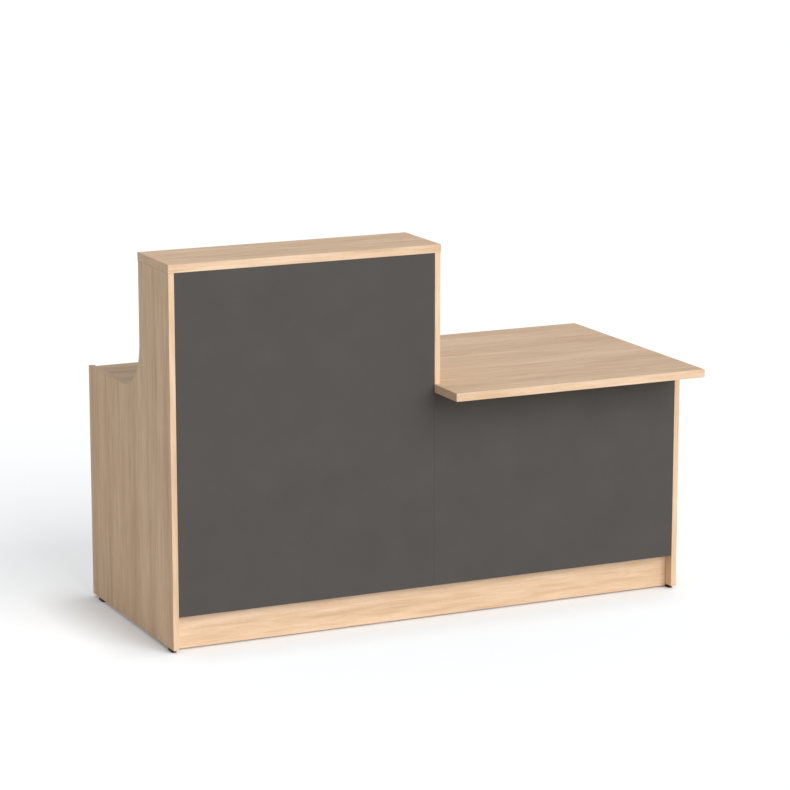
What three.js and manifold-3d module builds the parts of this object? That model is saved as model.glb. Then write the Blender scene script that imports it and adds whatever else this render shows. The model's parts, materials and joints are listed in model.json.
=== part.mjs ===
// A reception desk in light oak and anthracite board. The left half carries a raised counter,
// the right half a lower worktop that reaches out towards the visitor.
// Millimetres, +Z up. Visitors stand on the -Y side and staff sit on the +Y side.
import * as THREE from "three";
import { mergeVertices } from "three/addons/utils/BufferGeometryUtils.js";
import Module from "manifold-3d";

const wasm = await Module();
wasm.setup();

// Desk sizes
const DESK_WIDTH = 1700; // over the outer faces of the end panels
const PANEL_DEPTH = 700; // end panels, front edge to rear edge
const COUNTER_HEIGHT = 1162; // floor to the surface of the counter
const WORK_HEIGHT = 737; // floor to the surface of the worktops
const TOWER_WIDTH = 850; // left outer face to the seam between the two halves
const TOWER_DEPTH = 247; // boards that carry the counter, front to rear
const COUNTER_REAR_LIP = 3; // counter past the boards that carry it, on the staff side
const COUNTER_END_LIP = 2; // counter past the tower side panel
const WORK_REACH = 150; // right worktop past the front panels, towards the visitor
const WORK_REAR_INSET = 6; // worktops short of the rear edge of the end panels
const SIDE_LIP = 3; // left end panel above the worktop
const CURVE_RADIUS = 150; // hollow curve from the low to the high part of the left end panel
const FRONT_LIFT = 110; // floor to the lower edge of the front panels
const PLINTH_RECESS = 34; // plinth behind the front panels
const PLINTH_LIFT = 5; // floor to the lower edge of the plinth
const PLINTH_LAP = 20; // plinth above the lower edge of the front panels

// Boards
const BOARD = 18; // end, front, plinth and support boards
const TOP_BOARD = 25; // counter and worktop boards
const EASED = 0.5; // rounding along every board edge
const SEAM = 0.3; // gap where two boards meet
const FIT = 0.3; // gap between a fitting and what holds it

// Levelling feet
const PAD_LENGTH = 40;
const PAD_MARGIN = 1; // pad inside each face of the board above it
const PAD_HEIGHT = 6.5;
const PAD_EDGE = 1.2; // rounding of the pad's edges
const PIVOT_RADIUS = 4; // stud end that turns in the pad
const PIVOT_DEPTH = 4;
const COLLAR_WIDTH = 13; // hexagon across flats
const COLLAR_HEIGHT = 2.9;
const STUD_RADIUS = 4;
const STUD_LENGTH = 28; // thread above the collar
const SLEEVE_RADIUS = 6;
const SLEEVE_LENGTH = 22;
const FOOT_FROM_FRONT = 36; // stud behind the front edge of the board it carries
const FOOT_FROM_REAR = 62; // stud ahead of the rear edge of the board it carries

// Cam fittings that draw two boards together
const CAM_RADIUS = 7.5;
const CAM_DEPTH = 13;
const CAM_AXIS = 9; // bolt axis below the face that shows the cam
const CAM_SETBACK = 34; // cam axis behind the joint
const DRIVER_LENGTH = 8; // cross recess for the screwdriver
const DRIVER_WIDTH = 1.6;
const DRIVER_DEPTH = 2.5;
const BOLT_HEAD_RADIUS = 3.4;
const BOLT_HEAD_LENGTH = 3;
const BOLT_NECK_RADIUS = 2;
const BOLT_SHAFT_RADIUS = 3.5;
const BOLT_THREAD_RADIUS = 3;
const BOLT_THREAD_LENGTH = 11;
const FITTING_INSET = 120; // fittings in from the ends of a joint

// Angle brackets between the centre support and the worktops
const BRACKET_LEG = 40;
const BRACKET_WIDTH = 25;
const BRACKET_STEEL = 2.5;
const BRACKET_BEND = 4; // inside radius
const BRACKET_HOLE_RADIUS = 2.5;
const BRACKET_HOLES = [15, 31]; // along each leg, from the corner
const BRACKET_FROM_REAR = 300; // brackets ahead of the worktops' rear edge

// Cable outlet in the left worktop
const OUTLET_RADIUS = 40;
const OUTLET_FROM_FRONT = 110; // behind the front edge of the left worktop
const LINER_WALL = 3;
const LINER_LENGTH = 22; // below the worktop's surface
const FLANGE_WIDTH = 5;
const FLANGE_HEIGHT = 2.5;
const CAP_SEAT = 2.5; // step that carries the cap, in from the liner's wall
const CAP_THICKNESS = 4;
const CABLE_SLOT_WIDTH = 20;
const CABLE_SLOT_DEPTH = 17;

// Smoothness of round shapes
const CURVE_STEPS = 12;
const PAD_STEPS = 4;
const SLOT_STEPS = 6;
const CAM_SIDES = 20;
const BOLT_SIDES = 12;
const FOOT_SIDES = 16;
const OUTLET_SIDES = 40;

// Lines that several pieces share
const floorGap = PAD_HEIGHT + COLLAR_HEIGHT + 2 * FIT;
const counterUnderside = COUNTER_HEIGHT - TOP_BOARD;
const workUnderside = WORK_HEIGHT - TOP_BOARD;
const workFront = BOARD + SEAM;
const workRear = PANEL_DEPTH - WORK_REAR_INSET;
const leftInside = BOARD + SEAM;
const rightInside = DESK_WIDTH - BOARD - SEAM;
const seamLeft = TOWER_WIDTH - SEAM / 2;
const seamRight = TOWER_WIDTH + SEAM / 2;
const supportLeft = TOWER_WIDTH - BOARD / 2;
const supportRight = TOWER_WIDTH + BOARD / 2;
const plinthRear = PLINTH_RECESS + BOARD;
const plinthTop = FRONT_LIFT + PLINTH_LAP;
const supportFoot = plinthRear + SEAM;

const X = new THREE.Vector3(1, 0, 0);
const Y = new THREE.Vector3(0, 1, 0);
const Z = new THREE.Vector3(0, 0, 1);
const reversed = (axis) => axis.clone().negate();

// Colours and finishes
const finishes = {
  oak: { color: 0xd8b68f, roughness: 0.55, metalness: 0 },
  anthracite: { color: 0x5a5653, roughness: 0.6, metalness: 0 },
  blackPlastic: { color: 0x1d1d1e, roughness: 0.5, metalness: 0 },
  zinc: { color: 0xb4b5b6, roughness: 0.35, metalness: 1 },
  steel: { color: 0x9a9c9f, roughness: 0.3, metalness: 1 },
};

const desk = new THREE.Group();
desk.name = "reception_desk";
desk.position.set(-DESK_WIDTH / 2, (WORK_REACH - PANEL_DEPTH) / 2, 0);

function addPiece(name, geometry, finish, holder = desk) {
  const mesh = new THREE.Mesh(geometry, new THREE.MeshStandardMaterial(finishes[finish]));
  mesh.name = name;
  holder.add(mesh);
  return mesh;
}

// Closed solids for cutting and joining
function solidFrom(geometry) {
  const bare = new THREE.BufferGeometry();
  bare.setAttribute("position", geometry.getAttribute("position"));
  bare.setIndex(geometry.getIndex());
  const welded = mergeVertices(bare, 1e-4);
  const corners = welded.getIndex().array;
  const triangles = [];
  for (let i = 0; i < corners.length; i += 3) {
    const [a, b, c] = corners.slice(i, i + 3);
    if (a !== b && b !== c && c !== a) triangles.push(a, b, c);
  }
  return new wasm.Manifold(
    new wasm.Mesh({
      numProp: 3,
      vertProperties: welded.getAttribute("position").array,
      triVerts: Uint32Array.from(triangles),
    }),
  );
}

function geometryFrom(solid) {
  const mesh = solid.getMesh();
  const geometry = new THREE.BufferGeometry();
  geometry.setAttribute("position", new THREE.BufferAttribute(mesh.vertProperties, 3));
  geometry.setIndex(new THREE.BufferAttribute(mesh.triVerts, 1));
  geometry.computeVertexNormals();
  return geometry;
}

function rectangle(left, bottom, right, top) {
  const outline = new THREE.Shape();
  outline.moveTo(left, bottom);
  outline.lineTo(right, bottom);
  outline.lineTo(right, top);
  outline.lineTo(left, top);
  return outline;
}

// Two half circles joined by straight sides, long way along the second axis
function oblong(width, length) {
  const radius = width / 2;
  const reach = length / 2 - radius;
  const outline = new THREE.Shape();
  outline.absarc(0, reach, radius, 0, Math.PI, false);
  outline.absarc(0, -reach, radius, Math.PI, 2 * Math.PI, false);
  return outline;
}

// An outline pulled through a thickness, with its edges rounded
function easedSlab(outline, thickness, edge, steps) {
  const geometry = new THREE.ExtrudeGeometry(outline, {
    depth: thickness - 2 * edge,
    bevelThickness: edge,
    bevelSize: edge,
    bevelOffset: -edge,
    bevelSegments: 2,
    curveSegments: steps,
  });
  return geometry.translate(0, 0, edge);
}

// A frame whose outline runs along the first two axes and whose thickness follows the third
function frameAt(across, up, x, y, z) {
  const through = across.clone().cross(up);
  return new THREE.Matrix4().makeBasis(across, up, through).setPosition(x, y, z);
}

// A round bar along an axis, for bores
function bar(radius, from, to, sides) {
  const geometry = new THREE.CylinderGeometry(radius, radius, to - from, sides);
  return geometry.rotateX(Math.PI / 2).translate(0, 0, (from + to) / 2);
}

// Bores and pockets, listed for the board that they are cut in
const cuts = {};

function cut(boardName, geometry, frame) {
  const solid = solidFrom(geometry.applyMatrix4(frame));
  cuts[boardName] = [...(cuts[boardName] ?? []), solid];
}

function addBoard(name, outline, thickness, frame, finish) {
  const whole = solidFrom(easedSlab(outline, thickness, EASED, CURVE_STEPS).applyMatrix4(frame));
  const drilled = (cuts[name] ?? []).reduce((solid, cutter) => solid.subtract(cutter), whole);
  addPiece(name, geometryFrom(drilled), finish);
}

// Levelling feet: an oblong pad that stays in line with the board, a stud with a spanner collar
// that turns in the pad, and a threaded sleeve let into the lower edge of the board
function padGeometry() {
  const outline = oblong(BOARD - 2 * PAD_MARGIN, PAD_LENGTH);
  const body = solidFrom(easedSlab(outline, PAD_HEIGHT, PAD_EDGE, PAD_STEPS));
  const socket = bar(PIVOT_RADIUS + FIT, PAD_HEIGHT - PIVOT_DEPTH - FIT, PAD_HEIGHT + FIT, FOOT_SIDES);
  return geometryFrom(body.subtract(solidFrom(socket)));
}

function studGeometry() {
  const collarTop = floorGap - FIT;
  const collarBottom = collarTop - COLLAR_HEIGHT;
  const corner = COLLAR_WIDTH / Math.sqrt(3);
  const collar = solidFrom(bar(corner, collarBottom, collarTop, 6));
  const pivot = solidFrom(bar(PIVOT_RADIUS, PAD_HEIGHT - PIVOT_DEPTH, collarTop, FOOT_SIDES));
  const thread = solidFrom(bar(STUD_RADIUS, collarBottom, collarTop + STUD_LENGTH, FOOT_SIDES));
  return geometryFrom(collar.add(pivot).add(thread));
}

function sleeveGeometry() {
  const top = floorGap + SLEEVE_LENGTH;
  const tube = solidFrom(bar(SLEEVE_RADIUS, floorGap, top, FOOT_SIDES));
  const bore = solidFrom(bar(STUD_RADIUS + FIT, floorGap - FIT, top + FIT, FOOT_SIDES));
  return geometryFrom(tube.subtract(bore));
}

function addFoot(site, boardName, x, y) {
  const foot = new THREE.Group();
  foot.name = `foot_${site}`;
  foot.position.set(x, y, 0);
  desk.add(foot);
  addPiece(`foot_pad_${site}`, padGeometry(), "blackPlastic", foot);
  addPiece(`foot_stud_${site}`, studGeometry(), "steel", foot);
  addPiece(`foot_sleeve_${site}`, sleeveGeometry(), "zinc", foot);
  const frame = frameAt(X, Y, x, y, 0);
  const sleeveTop = floorGap + SLEEVE_LENGTH + FIT;
  const studTop = floorGap + STUD_LENGTH + FIT;
  cut(boardName, bar(SLEEVE_RADIUS + FIT, floorGap - FIT, sleeveTop, FOOT_SIDES), frame);
  cut(boardName, bar(STUD_RADIUS + FIT, floorGap - FIT, studTop, FOOT_SIDES), frame);
}

// Cam fittings. Their frame has the bolt along the third axis, pointing into the board that takes
// its thread, the joint at zero and the cam's face towards the first axis.
function keyhole(radius, from, to) {
  const outline = new THREE.Shape();
  outline.absarc(0, 0, radius, -Math.PI / 2, Math.PI / 2, false);
  outline.lineTo(-CAM_DEPTH, radius);
  outline.lineTo(-CAM_DEPTH, -radius);
  const settings = { depth: to - from, bevelEnabled: false, curveSegments: BOLT_SIDES / 4 };
  return solidFrom(new THREE.ExtrudeGeometry(outline, settings).translate(0, 0, from));
}

function camGeometry() {
  const face = CAM_AXIS - FIT;
  const disc = bar(CAM_RADIUS, face - CAM_DEPTH, face, CAM_SIDES);
  const body = solidFrom(disc.rotateY(Math.PI / 2).translate(0, 0, -CAM_SETBACK));
  const headReach = BOLT_HEAD_LENGTH / 2 + FIT;
  const head = keyhole(BOLT_HEAD_RADIUS + FIT, -CAM_SETBACK - headReach, -CAM_SETBACK + headReach);
  const neck = keyhole(BOLT_NECK_RADIUS + FIT, -CAM_SETBACK, -CAM_SETBACK + CAM_RADIUS + FIT);
  const slot = [DRIVER_DEPTH * 2, DRIVER_LENGTH, DRIVER_WIDTH];
  const driver = solidFrom(new THREE.BoxGeometry(...slot).translate(face, 0, -CAM_SETBACK));
  const across = solidFrom(
    new THREE.BoxGeometry(...slot).rotateX(Math.PI / 2).translate(face, 0, -CAM_SETBACK),
  );
  return geometryFrom(body.subtract(head).subtract(neck).subtract(driver).subtract(across));
}

function boltGeometry() {
  const headEnd = -CAM_SETBACK - BOLT_HEAD_LENGTH / 2;
  const headStart = -CAM_SETBACK + BOLT_HEAD_LENGTH / 2;
  const neckStart = -CAM_SETBACK + CAM_RADIUS + 2 * FIT;
  const profile = [
    [0, headEnd],
    [BOLT_HEAD_RADIUS, headEnd],
    [BOLT_HEAD_RADIUS, headStart],
    [BOLT_NECK_RADIUS, headStart],
    [BOLT_NECK_RADIUS, neckStart],
    [BOLT_SHAFT_RADIUS, neckStart],
    [BOLT_SHAFT_RADIUS, -FIT],
    [BOLT_THREAD_RADIUS, -FIT],
    [BOLT_THREAD_RADIUS, BOLT_THREAD_LENGTH],
    [0, BOLT_THREAD_LENGTH],
  ];
  const points = profile.map(([radius, along]) => new THREE.Vector2(radius, along));
  return new THREE.LatheGeometry(points, BOLT_SIDES).rotateX(Math.PI / 2);
}

function addCamFitting(joint, { cam, thread, into, face, at }) {
  const frame = frameAt(face, into.clone().cross(face), ...at);
  const fitting = new THREE.Group();
  fitting.name = `fitting_${joint}`;
  fitting.applyMatrix4(frame);
  desk.add(fitting);
  addPiece(`cam_${joint}`, camGeometry(), "zinc", fitting);
  addPiece(`bolt_${joint}`, boltGeometry(), "steel", fitting);
  const pocket = bar(CAM_RADIUS + FIT, CAM_AXIS - CAM_DEPTH - 2 * FIT, CAM_AXIS + FIT, CAM_SIDES);
  cut(cam, pocket.rotateY(Math.PI / 2).translate(0, 0, -CAM_SETBACK), frame);
  cut(cam, bar(BOLT_SHAFT_RADIUS + FIT, -CAM_SETBACK, FIT, BOLT_SIDES), frame);
  cut(thread, bar(BOLT_THREAD_RADIUS + FIT, -FIT, BOLT_THREAD_LENGTH + FIT, BOLT_SIDES), frame);
}

const left = reversed(X);
const right = X;
const up = Z;
const down = reversed(Z);
const staff = Y;

// The cams that show on the back of the front panels
function addFrontFittings() {
  const line = BOARD - CAM_AXIS;
  const lowLevel = FRONT_LIFT + FITTING_INSET;
  const towerLevel = counterUnderside - FITTING_INSET;
  const workLevel = workUnderside - FITTING_INSET;
  const tall = { cam: "tall_front_panel", face: staff };
  const tallLeft = { ...tall, thread: "left_end_panel", into: left };
  addCamFitting("tall_front_left_low", { ...tallLeft, at: [BOARD, line, lowLevel] });
  addCamFitting("tall_front_left_high", { ...tallLeft, at: [BOARD, line, towerLevel] });
  const tallRight = { ...tall, thread: "tower_side_panel", into: right };
  addCamFitting("tall_front_right", { ...tallRight, at: [TOWER_WIDTH, line, towerLevel] });
  const counter = { ...tall, thread: "counter_top", into: up };
  addCamFitting("counter_left", { ...counter, at: [BOARD + FITTING_INSET, line, counterUnderside] });
  addCamFitting("counter_right", { ...counter, at: [TOWER_WIDTH - FITTING_INSET, line, counterUnderside] });
  const low = { cam: "low_front_panel", thread: "right_end_panel", into: right, face: staff };
  addCamFitting("low_front_low", { ...low, at: [DESK_WIDTH - BOARD, line, lowLevel] });
  addCamFitting("low_front_high", { ...low, at: [DESK_WIDTH - BOARD, line, workLevel] });
}

function addWorktopFittings() {
  const ends = { front: workFront + FITTING_INSET, rear: workRear - FITTING_INSET };
  const rightLine = DESK_WIDTH - BOARD + CAM_AXIS;
  const leftLine = workUnderside + CAM_AXIS;
  const rightTop = { cam: "right_end_panel", thread: "right_worktop", into: up, face: left };
  const leftTop = { cam: "left_worktop", thread: "left_end_panel", into: left, face: down };
  for (const [end, y] of Object.entries(ends)) {
    addCamFitting(`right_worktop_${end}`, { ...rightTop, at: [rightLine, y, workUnderside] });
    addCamFitting(`left_worktop_${end}`, { ...leftTop, at: [BOARD, y, leftLine] });
  }
  const tower = { cam: "tower_side_panel", thread: "right_worktop", into: down, face: left };
  addCamFitting("tower_side", { ...tower, at: [TOWER_WIDTH + CAM_AXIS, TOWER_DEPTH / 2, WORK_HEIGHT] });
}

function addPlinthFittings() {
  const line = plinthRear - CAM_AXIS;
  const level = (PLINTH_LIFT + plinthTop) / 2;
  const plinth = { cam: "plinth", face: staff };
  const leftEnd = { ...plinth, thread: "left_end_panel", into: left };
  const rightEnd = { ...plinth, thread: "right_end_panel", into: right };
  addCamFitting("plinth_left", { ...leftEnd, at: [BOARD, line, level] });
  addCamFitting("plinth_right", { ...rightEnd, at: [DESK_WIDTH - BOARD, line, level] });
}

// Angle brackets: one leg on the centre support, the other under a worktop
function bracketGeometry() {
  const inner = BRACKET_STEEL + BRACKET_BEND;
  const outline = new THREE.Shape();
  outline.moveTo(0, 0);
  outline.lineTo(BRACKET_LEG, 0);
  outline.lineTo(BRACKET_LEG, BRACKET_STEEL);
  outline.absarc(inner, inner, BRACKET_BEND, -Math.PI / 2, -Math.PI, true);
  outline.lineTo(BRACKET_STEEL, BRACKET_LEG);
  outline.lineTo(0, BRACKET_LEG);
  const settings = { depth: BRACKET_WIDTH, bevelEnabled: false, curveSegments: 3 };
  let solid = solidFrom(new THREE.ExtrudeGeometry(outline, settings));
  for (const along of BRACKET_HOLES) {
    const hole = bar(BRACKET_HOLE_RADIUS, -FIT, BRACKET_STEEL + FIT, BOLT_SIDES);
    const flat = hole.clone().rotateX(-Math.PI / 2).translate(along, 0, BRACKET_WIDTH / 2);
    const upright = hole.clone().rotateY(Math.PI / 2).translate(0, along, BRACKET_WIDTH / 2);
    solid = solid.subtract(solidFrom(flat)).subtract(solidFrom(upright));
  }
  return geometryFrom(solid);
}

function addBracket(side, across, x) {
  const y = workRear - BRACKET_FROM_REAR;
  const bracket = addPiece(`bracket_${side}`, bracketGeometry(), "zinc");
  bracket.applyMatrix4(frameAt(across, down, x, y, workUnderside - FIT));
}

// Cable outlet: a flanged liner in the left worktop and a cap that lifts out of it
const outletX = (leftInside + seamLeft) / 2;
const outletY = workFront + OUTLET_FROM_FRONT;
const linerOuter = OUTLET_RADIUS - FIT;
const linerInner = linerOuter - LINER_WALL;
const seatInner = linerInner - CAP_SEAT;
const seatLevel = FLANGE_HEIGHT - CAP_THICKNESS - FIT;

function linerGeometry() {
  const flangeEdge = OUTLET_RADIUS + FLANGE_WIDTH;
  const profile = [
    [seatInner, -LINER_LENGTH],
    [linerOuter, -LINER_LENGTH],
    [linerOuter, FIT],
    [flangeEdge, FIT],
    [flangeEdge, FLANGE_HEIGHT / 2],
    [flangeEdge - FLANGE_HEIGHT / 2, FLANGE_HEIGHT],
    [linerInner, FLANGE_HEIGHT],
    [linerInner, seatLevel],
    [seatInner, seatLevel],
    [seatInner, -LINER_LENGTH],
  ];
  const points = profile.map(([radius, along]) => new THREE.Vector2(radius, along));
  return new THREE.LatheGeometry(points, OUTLET_SIDES).rotateX(Math.PI / 2);
}

function capGeometry() {
  const capBottom = seatLevel + FIT;
  const radius = linerInner - FIT;
  const disc = solidFrom(bar(radius, capBottom, capBottom + CAP_THICKNESS, OUTLET_SIDES));
  const slotOutline = oblong(CABLE_SLOT_WIDTH, 2 * CABLE_SLOT_DEPTH);
  const settings = { depth: CAP_THICKNESS + 2 * FIT, bevelEnabled: false, curveSegments: SLOT_STEPS };
  const slot = new THREE.ExtrudeGeometry(slotOutline, settings).translate(0, radius, capBottom - FIT);
  return geometryFrom(disc.subtract(solidFrom(slot)));
}

function addOutlet() {
  const outlet = new THREE.Group();
  outlet.name = "cable_outlet";
  outlet.position.set(outletX, outletY, WORK_HEIGHT);
  desk.add(outlet);
  addPiece("outlet_liner", linerGeometry(), "blackPlastic", outlet);
  addPiece("outlet_cap", capGeometry(), "blackPlastic", outlet);
  const hole = bar(OUTLET_RADIUS, -TOP_BOARD - FIT, FIT, OUTLET_SIDES);
  cut("left_worktop", hole, frameAt(X, Y, outletX, outletY, WORK_HEIGHT));
}

// Boards
function leftEndOutline() {
  const lowTop = WORK_HEIGHT + SIDE_LIP;
  const curveCentre = TOWER_DEPTH + CURVE_RADIUS;
  const outline = new THREE.Shape();
  outline.moveTo(0, floorGap);
  outline.lineTo(PANEL_DEPTH, floorGap);
  outline.lineTo(PANEL_DEPTH, lowTop);
  outline.absarc(curveCentre, lowTop + CURVE_RADIUS, CURVE_RADIUS, -Math.PI / 2, -Math.PI, true);
  outline.lineTo(TOWER_DEPTH, counterUnderside - SEAM);
  outline.lineTo(0, counterUnderside - SEAM);
  return outline;
}

// The centre support stands behind the plinth and reaches over it to the front panels
function centreSupportOutline() {
  const outline = new THREE.Shape();
  outline.moveTo(supportFoot, floorGap);
  outline.lineTo(workRear, floorGap);
  outline.lineTo(workRear, workUnderside - SEAM);
  outline.lineTo(workFront, workUnderside - SEAM);
  outline.lineTo(workFront, plinthTop + SEAM);
  outline.lineTo(supportFoot, plinthTop + SEAM);
  return outline;
}

const endways = (x) => frameAt(Y, Z, x, 0, 0);
const facing = (rear) => frameAt(X, Z, 0, rear, 0);
const lying = (underside) => frameAt(X, Y, 0, 0, underside);

function addEndBoards() {
  addBoard("left_end_panel", leftEndOutline(), BOARD, endways(0), "oak");
  const rightEnd = rectangle(0, floorGap, PANEL_DEPTH, workUnderside - SEAM);
  addBoard("right_end_panel", rightEnd, BOARD, endways(DESK_WIDTH - BOARD), "oak");
  addBoard("centre_support", centreSupportOutline(), BOARD, endways(supportLeft), "oak");
  const towerSide = rectangle(0, WORK_HEIGHT + SEAM, TOWER_DEPTH, counterUnderside - SEAM);
  addBoard("tower_side_panel", towerSide, BOARD, endways(TOWER_WIDTH), "oak");
}

function addTops() {
  const counterRight = TOWER_WIDTH + BOARD + COUNTER_END_LIP;
  const counter = rectangle(0, 0, counterRight, TOWER_DEPTH + COUNTER_REAR_LIP);
  addBoard("counter_top", counter, TOP_BOARD, lying(counterUnderside), "oak");
  const leftWork = rectangle(leftInside, workFront, seamLeft, workRear);
  addBoard("left_worktop", leftWork, TOP_BOARD, lying(workUnderside), "oak");
  const rightWork = rectangle(seamRight, -WORK_REACH, DESK_WIDTH, workRear);
  addBoard("right_worktop", rightWork, TOP_BOARD, lying(workUnderside), "oak");
}

function addFronts() {
  const tall = rectangle(leftInside, FRONT_LIFT, seamLeft, counterUnderside - SEAM);
  addBoard("tall_front_panel", tall, BOARD, facing(BOARD), "anthracite");
  const low = rectangle(seamRight, FRONT_LIFT, rightInside, workUnderside - SEAM);
  addBoard("low_front_panel", low, BOARD, facing(BOARD), "anthracite");
  const plinth = rectangle(leftInside, PLINTH_LIFT, rightInside, plinthTop);
  addBoard("plinth", plinth, BOARD, facing(plinthRear), "oak");
}

function addFeet() {
  const standing = [
    ["left", "left_end_panel", BOARD / 2, 0, PANEL_DEPTH],
    ["centre", "centre_support", TOWER_WIDTH, supportFoot, workRear],
    ["right", "right_end_panel", DESK_WIDTH - BOARD / 2, 0, PANEL_DEPTH],
  ];
  for (const [side, boardName, x, front, rear] of standing) {
    addFoot(`${side}_front`, boardName, x, front + FOOT_FROM_FRONT);
    addFoot(`${side}_rear`, boardName, x, rear - FOOT_FROM_REAR);
  }
}

addFeet();
addFrontFittings();
addWorktopFittings();
addPlinthFittings();
addOutlet();
addBracket("left", left, supportLeft - FIT);
addBracket("right", right, supportRight + FIT);
addEndBoards();
addTops();
addFronts();

export default desk;
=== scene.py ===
"""A reception desk in light oak and anthracite board, with its fittings, in a plain white studio."""
import json
import math

import bmesh
import bpy
from mathutils import Matrix, Vector

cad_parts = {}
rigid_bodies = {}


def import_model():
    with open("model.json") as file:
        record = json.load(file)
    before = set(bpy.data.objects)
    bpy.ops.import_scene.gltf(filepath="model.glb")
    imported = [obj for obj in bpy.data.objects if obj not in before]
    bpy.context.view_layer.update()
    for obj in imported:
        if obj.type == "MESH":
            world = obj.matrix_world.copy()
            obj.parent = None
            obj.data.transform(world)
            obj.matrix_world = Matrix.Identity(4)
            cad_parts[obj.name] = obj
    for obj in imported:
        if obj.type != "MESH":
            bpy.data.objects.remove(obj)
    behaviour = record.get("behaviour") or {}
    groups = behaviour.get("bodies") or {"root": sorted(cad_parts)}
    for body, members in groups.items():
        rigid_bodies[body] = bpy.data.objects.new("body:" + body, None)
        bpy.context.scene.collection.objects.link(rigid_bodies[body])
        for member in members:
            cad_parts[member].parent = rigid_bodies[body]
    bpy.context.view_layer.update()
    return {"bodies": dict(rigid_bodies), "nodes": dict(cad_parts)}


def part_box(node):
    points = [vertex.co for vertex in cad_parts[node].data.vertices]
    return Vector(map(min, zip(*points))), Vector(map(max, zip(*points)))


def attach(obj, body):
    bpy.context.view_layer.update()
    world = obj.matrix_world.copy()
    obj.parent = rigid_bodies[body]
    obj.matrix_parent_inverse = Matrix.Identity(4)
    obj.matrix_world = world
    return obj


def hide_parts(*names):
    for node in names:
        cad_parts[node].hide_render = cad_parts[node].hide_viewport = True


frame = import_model()
nodes = frame["nodes"]

# Colours, as they show on a screen, 0 to 255
OAK_PORE = (203, 165, 128)
OAK_JOINT = (196, 160, 126)  # where an edge strip meets the face
# Painted highlight: the anthracite edges are lighter than the faces, to offset the shade in the seam
# between the front panels
ANTHRACITE_EDGE_HIGHLIGHT = (99, 95, 92)
FLOOR_SEEN = (240, 244, 247)  # cool, to balance the warm light that the oak throws on it
FLOOR_THROWN = (238, 236, 233)  # what the floor throws back at the desk

# Runs of colour: a level of the pattern, 0 to 1, and the colour at that level
OAK_TONES = ((0.37, (221, 185, 149)), (0.5, (239, 206, 172)), (0.63, (253, 224, 193)))
ANTHRACITE_TONES = ((0.3, (81, 78, 75)), (0.7, (89, 86, 83)))
PLASTIC_TONES = ((0.35, (20, 20, 21)), (0.75, (31, 31, 32)))
ZINC_TONES = ((0.35, (176, 180, 184)), (0.65, (196, 194, 186)))
STEEL_TONES = ((0.3, (138, 140, 143)), (0.7, (172, 174, 177)))

# Roughness, from the least to the most
OAK_ROUGHNESS = (0.50, 0.66)
ANTHRACITE_ROUGHNESS = (0.52, 0.68)
PLASTIC_ROUGHNESS = (0.42, 0.60)
ZINC_ROUGHNESS = (0.28, 0.46)
STEEL_ROUGHNESS = (0.25, 0.42)

# Relief: strength, and depth in metres
OAK_RELIEF = (0.10, 0.0004)
ANTHRACITE_RELIEF = (0.12, 0.0003)
PLASTIC_RELIEF = (0.20, 0.0003)
ZINC_RELIEF = (0.08, 0.0002)
STEEL_RELIEF = (0.06, 0.0001)

# Gloss of what isn't metal
BOARD_SPECULAR = 0.15
PLASTIC_SPECULAR = 0.4

# Oak décor: marks per metre across the grain, and how much longer a mark is than wide
BANDS, BAND_STRETCH = 14, 16
FLAMES, FLAME_STRETCH = 70, 11
HAIRS, HAIR_STRETCH = 520, 50
PORES, PORE_STRETCH = 900, 20
BAND_SHARE, FLAME_SHARE, HAIR_SHARE = 0.50, 0.28, 0.22  # of the tone
PORE_LEVELS = (0.62, 0.74)  # of its pattern, where a pore begins and where it is full
PORE_STRENGTH = 0.45
PORE_SINK = 0.8  # against the height of a hair
WANDERS = 2.4  # bends of the grain per metre
GRAIN_WANDER = 0.010  # metres that the grain strays sideways
JOINT_STRENGTH = 0.3

# Marks per metre on the other materials
SPECKS, PANEL_CLOUDS = 900, 9
SPECK_SHARE, PANEL_CLOUD_SHARE = 0.6, 0.4  # of the tone
PLASTIC_GRAINS, PLASTIC_SCUFFS = 1800, 60
ZINC_GRITS, ZINC_CLOUDS = 2600, 70
STEEL_RINGS, STEEL_CLOUDS = 4200, 90
RING_STRETCH = 20  # how much longer a turned ring's mark is than wide

# Which way a face looks: the share of its normal that lies along an axis
END_FACE = 0.6  # along the grain, on a board's end
FIRST_SLOPE = (0.72, 0.80, 0.97, 0.99)  # off the face, on an eased edge: begins, full, full, ends
EDGE_HIGHLIGHT_SLOPE = (0.97, 0.93)  # off the face, where the painted highlight on an anthracite edge begins and where it is full

# Each oak board: the axis along its grain and the axis across it, in the plane of the board
X_AXIS, Y_AXIS, Z_AXIS = 0, 1, 2
OAK_BOARDS = {
    "left_end_panel": (Z_AXIS, Y_AXIS),
    "right_end_panel": (Z_AXIS, Y_AXIS),
    "centre_support": (Z_AXIS, Y_AXIS),
    "tower_side_panel": (Z_AXIS, Y_AXIS),
    "counter_top": (X_AXIS, Y_AXIS),
    "left_worktop": (X_AXIS, Y_AXIS),
    "right_worktop": (X_AXIS, Y_AXIS),
    "plinth": (X_AXIS, Z_AXIS),
}
BOARD_SHIFT = Vector((2.3, 1.9, 3.1))  # moves the pattern on from board to board

# Levelling feet, in metres
PAD_EDGE = 0.0012
PAD_SOCKET_RADIUS = 0.0043
PAD_SOCKET_FLOOR = 0.0022  # above the floor
PAD_SIDES = 64
PIVOT_RADIUS = 0.004
COLLAR_BOTTOM = 0.0068  # above the floor
COLLAR_TOP = 0.0097
COLLAR_FLATS = 0.013
COLLAR_CHAMFER = 0.0005
THREAD_RADIUS = 0.004
THREAD_DEPTH = 0.0007
THREAD_PITCH = 0.00125
THREAD_ROWS = 8  # rings of points in one pitch
STUD_SIDES = 36

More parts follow.
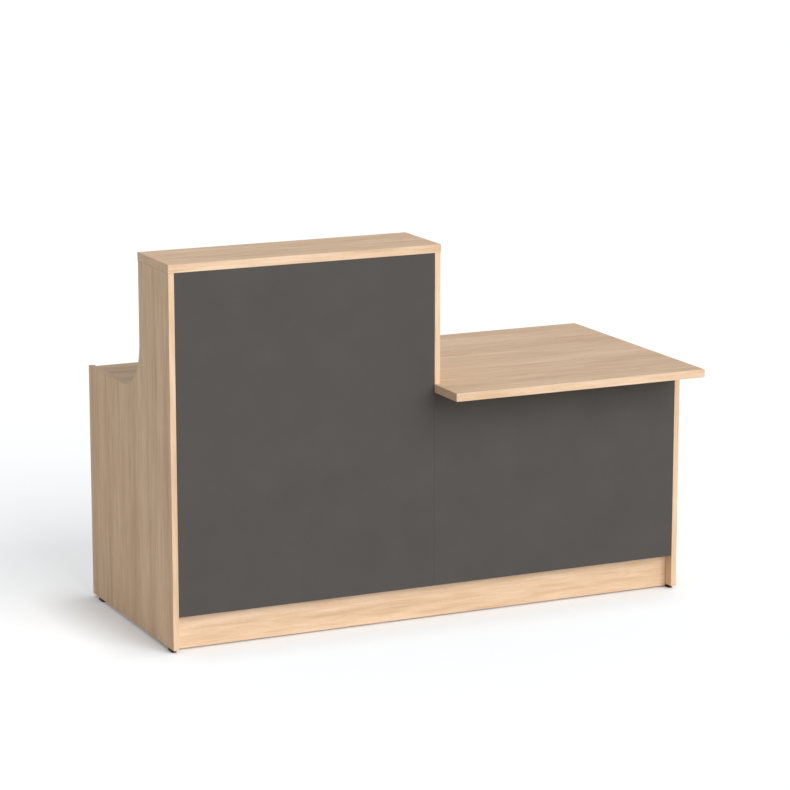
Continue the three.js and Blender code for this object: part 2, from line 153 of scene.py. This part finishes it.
# Cable outlet, in metres, heights measured from the worktop's surface
LINER_BOTTOM = -0.022
LINER_OUTER = 0.0397
LINER_INNER = 0.0367
LINER_SEAT = 0.0342
SEAT_LEVEL = -0.0018
FLANGE_EDGE = 0.045
FLANGE_FOOT = 0.0003
FLANGE_TOP = 0.0025
FLANGE_ROUND = 0.0016
LIP_ROUND = 0.0004
CAP_RADIUS = 0.0364
CAP_BOTTOM = -0.0015
CAP_TOP = 0.0025
CAP_ROUND = 0.0006
CAP_ROUND_STEPS = 3
SLOT_HALF = 0.010
SLOT_DEPTH = 0.017
SLOT_STEPS = 24
OUTLET_SIDES = 96

# Screws in the angle brackets, in metres
SCREW_HEAD_RADIUS = 0.0042
SCREW_HEAD_HEIGHT = 0.0022
SCREW_SHANK_RADIUS = 0.0020
SCREW_SHANK_LENGTH = 0.0026
SCREW_CROSS_HALF = 0.0023
SCREW_CROSS_ARM = 0.0005  # half the width of one arm
SCREW_CROSS_DEPTH = 0.0014
SCREW_CROSS_TAPER = 0.6
SCREW_DOME = ((1.0, 0.0), (1.0, 0.3), (0.96, 0.6), (0.84, 0.85), (0.66, 1.0))  # shares of radius, height
BRACKET_STEEL = 0.0025
BRACKET_HOLES = (0.015, 0.031)  # along each leg, from the corner

ROUND_STEPS = 5  # points on a rounded edge
SMOOTH_ANGLE = 35  # degrees; sharper edges stay sharp

# Camera, in metres and degrees
CAMERA_PLACE = (-3.9943, -8.5393, 2.6680)
CAMERA_HEADING = 25.050  # to the right of straight ahead
CAMERA_DIP = 12.077
CAMERA_LENS = 142.2  # millimetres
CAMERA_SENSOR = 36  # millimetres
CAMERA_REACH = 200

# Light
KEY_FROM = Vector((0.32, -1.0, 0.52))  # direction that the key light comes from
KEY_STRENGTH = 2.07
KEY_SPREAD = 46  # degrees, for soft shadows
ROOM_LIGHT = 0.345
BACKGROUND_WHITE = 1.0
FLOOR_LIFT = 0.47  # brings the floor up to white
FLOOR_HALF = 60
CONTACT_REACH = 0.22  # metres over which the desk shades the floor round it
CONTACT_DEPTH = 1.4
CONTACT_LEAN = Vector((0.3, -0.3, 0.9))  # leans to the key light, so the far side is shaded more


def linear(colour):
    """A screen colour as the four numbers that a shader takes."""
    def channel(value):
        share = value / 255
        return share / 12.92 if share <= 0.04045 else ((share + 0.055) / 1.055) ** 2.4
    return (*(channel(value) for value in colour), 1.0)


class Graph:
    """A node tree, and short ways to add nodes to it."""

    def __init__(self, tree):
        self.tree = tree

    def put(self, socket, value):
        if isinstance(value, bpy.types.NodeSocket):
            self.tree.links.new(value, socket)
        else:
            socket.default_value = value

    def add(self, kind, *values, **settings):
        """A node with its inputs filled in order; settings are the node's own choices."""
        node = self.tree.nodes.new("ShaderNode" + kind)
        for name, value in settings.items():
            setattr(node, name, value)
        for socket, value in zip(node.inputs, values):
            self.put(socket, value)
        return node

    def maths(self, operation, *values):
        return self.add("Math", *values, operation=operation).outputs[0]

    def weighted(self, *pairs):
        """The sum of values, each times its weight."""
        total = 0.0
        for value, weight in pairs:
            total = self.maths("MULTIPLY_ADD", value, weight, total)
        return total

    def between(self, value, low, high):
        """0 at low, 1 at high, and a straight run from one to the other."""
        return self.add("MapRange", value, low, high, 0.0, 1.0).outputs[0]

    def run(self, value, low, high):
        """A value from 0 to 1 as a number from low to high."""
        return self.add("MapRange", value, 0.0, 1.0, low, high).outputs[0]

    def mix(self, share, first, second, kind="RGBA"):
        node = self.tree.nodes.new("ShaderNodeMix")
        node.data_type = kind
        sockets = [socket for socket in node.inputs if socket.enabled]
        for socket, value in zip(sockets, (share, first, second)):
            self.put(socket, value)
        return next(socket for socket in node.outputs if socket.enabled)

    def seen(self):
        """1 for rays from the camera and for what shows in gloss and glass, else 0."""
        path = self.add("LightPath").outputs
        direct = self.maths("MAXIMUM", path["Is Camera Ray"], path["Is Glossy Ray"])
        return self.maths("MAXIMUM", direct, path["Is Transmission Ray"])


class Surface(Graph):
    """A material with a Principled shader."""

    def __init__(self, name, **constants):
        self.material = bpy.data.materials.new(name)
        self.material.use_nodes = True
        super().__init__(self.material.node_tree)
        self.shader = self.tree.nodes["Principled BSDF"]
        for socket, value in constants.items():
            self.shader.inputs[socket.replace("_", " ")].default_value = value

    def place(self):
        return self.add("TexCoord").outputs["Object"]

    def facing(self):
        """The three parts of the face's own normal."""
        return self.add("SeparateXYZ", self.add("NewGeometry").outputs["True Normal"]).outputs

    def vector(self, operation, *values):
        return self.add("VectorMath", *values, operation=operation).outputs[0]

    def noise(self, vector, scale, detail=2.0, roughness=0.5, output="Fac"):
        node = self.add("TexNoise")
        self.put(node.inputs["Vector"], vector)
        node.inputs["Scale"].default_value = scale
        node.inputs["Detail"].default_value = detail
        node.inputs["Roughness"].default_value = roughness
        return node.outputs[output]

    def ramp(self, value, stops):
        node = self.add("ValToRGB", value)
        points = node.color_ramp.elements
        while len(points) < len(stops):
            points.new(1.0)
        for point, (place, colour) in zip(points, stops):
            point.position = place
            point.color = linear(colour)
        return node.outputs["Color"]

    def colour(self, value):
        self.put(self.shader.inputs["Base Color"], value)

    def roughness(self, value):
        self.put(self.shader.inputs["Roughness"], value)

    def relief(self, height, strength, depth):
        node = self.add("Bump")
        node.inputs["Strength"].default_value = strength
        node.inputs["Distance"].default_value = depth
        self.put(node.inputs["Height"], height)
        self.put(self.shader.inputs["Normal"], node.outputs["Normal"])


def drawn_out(axis, times):
    """A scale that draws a pattern out along one axis."""
    scale = [1.0, 1.0, 1.0]
    scale[axis] = 1 / times
    return scale


def make_oak(board, grain, across, shift):
    """Oak décor: grain along the board on its faces, and along each edge strip on its edges."""
    oak = Surface(f"oak_{board}", Specular_IOR_Level=BOARD_SPECULAR)
    place = oak.place()
    bends = oak.noise(place, WANDERS, detail=1.0, output="Color")
    stray = oak.vector("SUBTRACT", bends, [0.5] * 3)
    wandering = oak.vector("MULTIPLY_ADD", stray, [GRAIN_WANDER] * 3, place)
    facing = oak.facing()
    at_end = oak.maths("GREATER_THAN", oak.maths("ABSOLUTE", facing[grain]), END_FACE)

    def marks(number, times, detail, roughness=0.5):
        unturned = (0, 0, 0)
        along_board = oak.add("Mapping", wandering, shift, unturned, drawn_out(grain, times)).outputs[0]
        along_end = oak.add("Mapping", wandering, shift, unturned, drawn_out(across, times)).outputs[0]
        return oak.noise(oak.mix(at_end, along_board, along_end, "VECTOR"), number, detail, roughness)

    bands = marks(BANDS, BAND_STRETCH, detail=4.0, roughness=0.65)
    flames = marks(FLAMES, FLAME_STRETCH, detail=2.0)
    hairs = marks(HAIRS, HAIR_STRETCH, detail=2.0)
    pores = oak.between(marks(PORES, PORE_STRETCH, detail=1.0), *PORE_LEVELS)
    tone = oak.weighted((bands, BAND_SHARE), (flames, FLAME_SHARE), (hairs, HAIR_SHARE))
    figure = oak.ramp(tone, OAK_TONES)
    grained = oak.mix(oak.maths("MULTIPLY", pores, PORE_STRENGTH), figure, linear(OAK_PORE))

    # The fine line where an edge strip meets the face lies on the first slope of the eased edge
    thin = X_AXIS + Y_AXIS + Z_AXIS - grain - across
    tilt = oak.maths("ABSOLUTE", facing[thin])
    begins, full, still_full, ends = FIRST_SLOPE
    joint = oak.maths("MULTIPLY", oak.between(tilt, begins, full), oak.between(tilt, ends, still_full))
    oak.colour(oak.mix(oak.maths("MULTIPLY", joint, JOINT_STRENGTH), grained, linear(OAK_JOINT)))
    oak.roughness(oak.run(bands, *OAK_ROUGHNESS))
    oak.relief(oak.weighted((hairs, 1.0), (pores, -PORE_SINK)), *OAK_RELIEF)
    return oak.material


def make_anthracite():
    """Matt melamine board with a fine pearl texture, and a painted highlight that makes its edges lighter,
    to offset the shade in the seams between the panels.
    """
    board = Surface("anthracite_board", Specular_IOR_Level=BOARD_SPECULAR)
    place = board.place()
    speck = board.noise(place, SPECKS, roughness=0.6)
    cloud = board.noise(place, PANEL_CLOUDS, detail=3.0)
    tone = board.weighted((speck, SPECK_SHARE), (cloud, PANEL_CLOUD_SHARE))
    face = board.ramp(tone, ANTHRACITE_TONES)
    # Painted highlight: faces turned away from the front, including the eased edges, are lightened to
    # offset the shade in the panel seams
    on_highlighted_edge = board.between(board.maths("ABSOLUTE", board.facing()[Y_AXIS]), *EDGE_HIGHLIGHT_SLOPE)
    board.colour(board.mix(on_highlighted_edge, face, linear(ANTHRACITE_EDGE_HIGHLIGHT)))
    board.roughness(board.run(speck, *ANTHRACITE_ROUGHNESS))
    board.relief(speck, *ANTHRACITE_RELIEF)
    return board.material


def make_plastic():
    """Black moulded plastic with an eroded grain."""
    plastic = Surface("black_plastic", Specular_IOR_Level=PLASTIC_SPECULAR)
    place = plastic.place()
    grain = plastic.noise(place, PLASTIC_GRAINS, roughness=0.6)
    scuff = plastic.noise(place, PLASTIC_SCUFFS, detail=4.0, roughness=0.65)
    plastic.colour(plastic.ramp(scuff, PLASTIC_TONES))
    plastic.roughness(plastic.run(grain, *PLASTIC_ROUGHNESS))
    plastic.relief(grain, *PLASTIC_RELIEF)
    return plastic.material


def make_zinc():
    """Plated zinc: a faint cloud of passivation on a satin surface."""
    zinc = Surface("zinc_plate", Metallic=1.0)
    place = zinc.place()
    cloud = zinc.noise(place, ZINC_CLOUDS, detail=3.0)
    grit = zinc.noise(place, ZINC_GRITS)
    zinc.colour(zinc.ramp(cloud, ZINC_TONES))
    zinc.roughness(zinc.run(grit, *ZINC_ROUGHNESS))
    zinc.relief(grit, *ZINC_RELIEF)
    return zinc.material


def make_steel():
    """Turned steel: fine rings left by the tool."""
    steel = Surface("turned_steel", Metallic=1.0)
    place = steel.place()
    round_about = steel.vector("MULTIPLY", place, (1 / RING_STRETCH, 1 / RING_STRETCH, 1.0))
    turned = steel.noise(round_about, STEEL_RINGS)
    cloud = steel.noise(place, STEEL_CLOUDS, detail=3.0)
    steel.colour(steel.ramp(cloud, STEEL_TONES))
    steel.roughness(steel.run(turned, *STEEL_ROUGHNESS))
    steel.relief(turned, *STEEL_RELIEF)
    return steel.material


# A finish is a material and the record's slot that it belongs to
ANTHRACITE = make_anthracite(), "anthracite"
PLASTIC = make_plastic(), "black_plastic"
ZINC = make_zinc(), "zinc"
STEEL = make_steel(), "steel"


def paint(node, material):
    mesh = nodes[node].data
    mesh.materials.clear()
    mesh.materials.append(material)


def paint_nodes():
    """Materials for the solids that stay in view."""
    for count, (board, (grain, across)) in enumerate(OAK_BOARDS.items()):
        paint(board, make_oak(board, grain, across, BOARD_SHIFT * count))
    finishes = {
        "tall_front_panel": ANTHRACITE,
        "low_front_panel": ANTHRACITE,
        "foot_sleeve": ZINC,
        "cam": ZINC,
        "bolt": STEEL,
        "bracket": ZINC,
    }
    for start, (material, _) in finishes.items():
        for node in nodes:
            if node.startswith(start):
                paint(node, material)


def skin(rings, closed=False):
    """A solid skinned over rings of points, with flat ends unless the rings run round to the first."""
    shape = bmesh.new()
    rows = [[shape.verts.new(point) for point in ring] for ring in rings]
    pairs = list(zip(rows, rows[1:]))
    if closed:
        pairs.append((rows[-1], rows[0]))
    for lower, upper in pairs:
        for index, corner in enumerate(lower):
            after = (index + 1) % len(lower)
            shape.faces.new((corner, lower[after], upper[after], upper[index]))
    if not closed:
        shape.faces.new(rows[0])
        shape.faces.new(rows[-1])
    return shape


def mesh_from(shape, name, finish):
    """A finished bmesh as a mesh with smooth rounds and sharp edges."""
    bmesh.ops.recalc_face_normals(shape, faces=shape.faces)
    mesh = bpy.data.meshes.new(name)
    shape.to_mesh(mesh)
    shape.free()
    mesh.polygons.foreach_set("use_smooth", [True] * len(mesh.polygons))
    mesh.set_sharp_from_angle(angle=math.radians(SMOOTH_ANGLE))
    mesh.materials.append(finish[0])
    return mesh


def add_piece(name, mesh, body, place, toward=(0, 0, 1)):
    """A piece whose own Z axis points toward a direction, riding on a body."""
    piece = bpy.data.objects.new(name, mesh)
    bpy.context.scene.collection.objects.link(piece)
    turn = Vector((0, 0, 1)).rotation_difference(toward).to_matrix().to_4x4()
    piece.matrix_world = Matrix.Translation(place) @ turn
    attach(piece, body)
    return piece


def even_angles(sides, start=0):
    """Angles all the way round; start is the share of a step to begin with."""
    return [math.tau * (side + start) / sides for side in range(sides)]


def polar_ring(angles, reach, height):
    """A ring of points at one height; reach is a radius, or a function of the angle."""
    radius = reach if callable(reach) else lambda angle: reach
    return [(radius(a) * math.cos(a), radius(a) * math.sin(a), height) for a in angles]


def rounded(size):
    """(in, along) steps of a quarter round, from flat on the face to flat on the side."""
    quarter = [math.pi / 2 * step / (ROUND_STEPS - 1) for step in range(ROUND_STEPS)]
    return [(size * (1 - math.sin(turn)), size * (1 - math.cos(turn))) for turn in quarter]


# Half a step on, so that no point of a pad lies between its two half circles
PAD_ANGLES = even_angles(PAD_SIDES, start=0.5)


def oblong_ring(width, length, inset, height):
    """Two half circles joined by straight sides."""
    reach = (length - width) / 2
    radius = width / 2 - inset
    ring = []
    for angle in PAD_ANGLES:
        shift = math.copysign(reach, math.sin(angle))
        ring.append((radius * math.cos(angle), radius * math.sin(angle) + shift, height))
    return ring


def pad_shape(width, length, tall):
    """An oblong glide with rounded edges and a socket for the stud."""
    edge = rounded(PAD_EDGE)
    bottom = [oblong_ring(width, length, inward, up) for inward, up in edge]
    top = [oblong_ring(width, length, inward, tall - down) for inward, down in reversed(edge)]
    mouth = polar_ring(PAD_ANGLES, PAD_SOCKET_RADIUS, tall)
    floor = polar_ring(PAD_ANGLES, PAD_SOCKET_RADIUS, PAD_SOCKET_FLOOR)
    return skin([*bottom, *top, mouth, floor])


def collar_reach(angle):
    """Distance from the middle of the spanner collar to its edge; two of its flats face X."""
    sixth = math.tau / 6
    return COLLAR_FLATS / 2 / math.cos((angle + sixth / 2) % sixth - sixth / 2)


def chamfered_reach(angle):
    return min(collar_reach(angle), COLLAR_FLATS / 2 + COLLAR_CHAMFER / 2)


def thread_ring(angles, height):
    """One ring through a right-hand thread."""
    def reach(angle):
        phase = (height / THREAD_PITCH - angle / math.tau) % 1
        return THREAD_RADIUS - THREAD_DEPTH * abs(2 * phase - 1)
    return polar_ring(angles, reach, height)


def stud_shape(bottom, top):
    """A levelling stud: a pivot, a spanner collar and a thread."""
    angles = even_angles(STUD_SIDES)
    core = THREAD_RADIUS - THREAD_DEPTH
    foot = [
        polar_ring(angles, PIVOT_RADIUS - COLLAR_CHAMFER, bottom),
        polar_ring(angles, PIVOT_RADIUS, bottom + COLLAR_CHAMFER),
        polar_ring(angles, PIVOT_RADIUS, COLLAR_BOTTOM),
        polar_ring(angles, chamfered_reach, COLLAR_BOTTOM),
        polar_ring(angles, collar_reach, COLLAR_BOTTOM + COLLAR_CHAMFER),
        polar_ring(angles, collar_reach, COLLAR_TOP - COLLAR_CHAMFER),
        polar_ring(angles, chamfered_reach, COLLAR_TOP),
        polar_ring(angles, core, COLLAR_TOP),
    ]
    row = THREAD_PITCH / THREAD_ROWS
    rows = int((top - COLLAR_TOP) / row)
    thread = [thread_ring(angles, COLLAR_TOP + row * number) for number in range(1, rows)]
    return skin([*foot, *thread, polar_ring(angles, core, top)])


def middle_of(node):
    low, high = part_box(node)
    return (low + high) / 2


def add_feet():
    """A smooth pad and a threaded stud for each levelling foot."""
    for body in frame["bodies"]:
        if body.startswith("foot_"):
            site = body.removeprefix("foot_")
            pad_node, stud_node = f"foot_pad_{site}", f"foot_stud_{site}"
            place = middle_of(pad_node)
            place.z = 0
            low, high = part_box(pad_node)
            shape = pad_shape(high.x - low.x, high.y - low.y, high.z)
            pad = add_piece(f"pad_{site}", mesh_from(shape, "pad", PLASTIC), body, place)
            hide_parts(pad_node)
            low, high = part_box(stud_node)
            shape = stud_shape(low.z, high.z)
            stud = add_piece(f"stud_{site}", mesh_from(shape, "stud", STEEL), f"stud_{site}", place)
            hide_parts(stud_node)


def liner_shape():
    """The outlet's liner: a tube with a seat for the cap and a rounded flange."""
    flange = [(FLANGE_EDGE - inward, FLANGE_TOP - down) for inward, down in reversed(rounded(FLANGE_ROUND))]
    lip = [(LINER_INNER + inward, FLANGE_TOP - down) for inward, down in rounded(LIP_ROUND)]
    profile = [
        (LINER_SEAT, LINER_BOTTOM),
        (LINER_OUTER, LINER_BOTTOM),
        (LINER_OUTER, FLANGE_FOOT),
        (FLANGE_EDGE, FLANGE_FOOT),
        *flange,
        *lip,
        (LINER_INNER, SEAT_LEVEL),
        (LINER_SEAT, SEAT_LEVEL),
    ]
    angles = even_angles(OUTLET_SIDES)
    return skin([polar_ring(angles, radius, height) for radius, height in profile], closed=True)


def arc(centre_y, radius, start, end, steps):
    """Points on an arc about a centre on the Y axis."""
    turns = [start + (end - start) * step / steps for step in range(steps + 1)]
    return [(radius * math.cos(turn), centre_y + radius * math.sin(turn)) for turn in turns]


def cap_shape():
    """The outlet's cap: a disc with a cable slot open to its rim, and its upper edge rounded."""
    mouth = math.asin(SLOT_HALF / CAP_RADIUS)
    rearward = math.pi / 2
    rim = arc(0, CAP_RADIUS, rearward + mouth, rearward + math.tau - mouth, OUTLET_SIDES)
    slot_centre = CAP_RADIUS - SLOT_DEPTH + SLOT_HALF
    slot = arc(slot_centre, SLOT_HALF, 0, -math.pi, SLOT_STEPS)
    shape = bmesh.new()
    base = shape.faces.new([shape.verts.new((x, y, CAP_BOTTOM)) for x, y in rim + slot])
    raised = bmesh.ops.extrude_face_region(shape, geom=[base])["geom"]
    corners = [item for item in raised if isinstance(item, bmesh.types.BMVert)]
    bmesh.ops.translate(shape, verts=corners, vec=(0, 0, CAP_TOP - CAP_BOTTOM))
    upper = [edge for edge in shape.edges if all(corner in corners for corner in edge.verts)]
    bmesh.ops.bevel(
        shape, geom=upper, offset=CAP_ROUND, segments=CAP_ROUND_STEPS, profile=0.5, affect="EDGES"
    )
    return shape


def add_outlet():
    """A smooth liner and cap for the cable outlet."""
    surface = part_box("left_worktop")[1].z
    centre = middle_of("outlet_liner")
    place = (centre.x, centre.y, surface)
    liner = add_piece("cable_liner", mesh_from(liner_shape(), "liner", PLASTIC), "desk", place)
    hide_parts("outlet_liner")
    cap = add_piece("cable_cap", mesh_from(cap_shape(), "cap", PLASTIC), "outlet_cap", place)
    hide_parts("outlet_cap")


def cross_angles():
    """Angles that hit every corner of a cross-shaped recess."""
    tip = math.atan2(SCREW_CROSS_ARM, SCREW_CROSS_HALF)
    eighth = math.tau / 8
    rising = [0, tip / 2, tip, (tip + eighth) / 2]
    falling = [2 * eighth - angle for angle in reversed(rising[1:])]
    quarter = [*rising, eighth, *falling]
    return [2 * eighth * count + angle for count in range(4) for angle in quarter]


def cross_reach(angle):
    """Distance from the middle of a cross-shaped recess to its edge."""
    tiny = 1e-9
    along = max(abs(math.cos(angle)), tiny)
    aside = max(abs(math.sin(angle)), tiny)
    lying = min(SCREW_CROSS_HALF / along, SCREW_CROSS_ARM / aside)
    standing = min(SCREW_CROSS_HALF / aside, SCREW_CROSS_ARM / along)
    return max(lying, standing)


def tapered_reach(angle):
    return SCREW_CROSS_TAPER * cross_reach(angle)


def screw_shape():
    """A pan-head screw with a cross recess; its head rests at zero and points up Z."""
    angles = cross_angles()
    shank = [polar_ring(angles, SCREW_SHANK_RADIUS, height) for height in (-SCREW_SHANK_LENGTH, 0)]
    head = [
        polar_ring(angles, SCREW_HEAD_RADIUS * wide, SCREW_HEAD_HEIGHT * tall)
        for wide, tall in SCREW_DOME
    ]
    recess = [
        polar_ring(angles, cross_reach, SCREW_HEAD_HEIGHT),
        polar_ring(angles, tapered_reach, SCREW_HEAD_HEIGHT - SCREW_CROSS_DEPTH),
    ]
    return skin([*shank, *head, *recess])


def add_screws():
    """Two screws through each leg of the angle brackets."""
    mesh = mesh_from(screw_shape(), "screw", ZINC)
    for side, outward in (("left", -1), ("right", 1)):
        low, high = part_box(f"bracket_{side}")
        middle = (low + high) / 2
        corner = high.x if outward < 0 else low.x
        for count, along in enumerate(BRACKET_HOLES):
            under = (corner + outward * along, middle.y, high.z - BRACKET_STEEL)
            beside = (corner + outward * BRACKET_STEEL, middle.y, high.z - along)
            add_piece(f"screw_{side}_top_{count}", mesh, "desk", under, (0, 0, -1))
            add_piece(f"screw_{side}_side_{count}", mesh, "desk", beside, (outward, 0, 0))


def make_floor():
    """A white floor that keeps the desk's shadow."""
    bpy.ops.mesh.primitive_plane_add(size=2 * FLOOR_HALF)
    floor = bpy.context.object
    floor.name = "studio_floor"
    material = bpy.data.materials.new("studio_floor")
    material.use_nodes = True
    graph = Graph(material.node_tree)
    graph.tree.nodes.clear()
    openness = graph.add("AmbientOcclusion")
    openness.inputs["Distance"].default_value = CONTACT_REACH
    graph.put(openness.inputs["Normal"], graph.add("CombineXYZ", *CONTACT_LEAN.normalized()).outputs[0])
    contact = graph.maths("POWER", openness.outputs["AO"], CONTACT_DEPTH)
    seen = graph.seen()
    lift = graph.maths("MULTIPLY", graph.maths("MULTIPLY", contact, FLOOR_LIFT), seen)
    diffuse = graph.add("BsdfDiffuse", graph.mix(seen, linear(FLOOR_THROWN), linear(FLOOR_SEEN)))
    glow = graph.add("Emission", (1, 1, 1, 1), lift)
    both = graph.add("AddShader", diffuse.outputs[0], glow.outputs[0])
    graph.add("OutputMaterial", both.outputs[0])
    floor.data.materials.append(material)


def make_light():
    """Even light from all round, and a soft key light from the front right."""
    world = bpy.data.worlds.new("studio")
    world.use_nodes = True
    bpy.context.scene.world = world
    graph = Graph(world.node_tree)
    background = world.node_tree.nodes["Background"]
    background.inputs["Color"].default_value = (1, 1, 1, 1)
    graph.put(background.inputs["Strength"], graph.run(graph.seen(), ROOM_LIGHT, BACKGROUND_WHITE))
    key = bpy.data.objects.new("key_light", bpy.data.lights.new("key_light", "SUN"))
    key.data.energy = KEY_STRENGTH
    key.data.angle = math.radians(KEY_SPREAD)
    key.rotation_euler = KEY_FROM.to_track_quat("Z", "Y").to_euler()
    bpy.context.scene.collection.objects.link(key)


def make_camera():
    heading = math.radians(CAMERA_HEADING)
    dip = math.radians(CAMERA_DIP)
    level = math.cos(dip)
    ahead = Vector((math.sin(heading) * level, math.cos(heading) * level, -math.sin(dip)))
    data = bpy.data.cameras.new("camera")
    data.sensor_width = CAMERA_SENSOR
    data.lens = CAMERA_LENS
    data.clip_end = CAMERA_REACH
    camera = bpy.data.objects.new("camera", data)
    camera.location = CAMERA_PLACE
    camera.rotation_euler = ahead.to_track_quat("-Z", "Y").to_euler()
    bpy.context.scene.collection.objects.link(camera)
    bpy.context.scene.camera = camera


paint_nodes()
add_feet()
add_outlet()
add_screws()
make_floor()
make_light()
make_camera()
bpy.context.scene.view_settings.view_transform = "Standard"
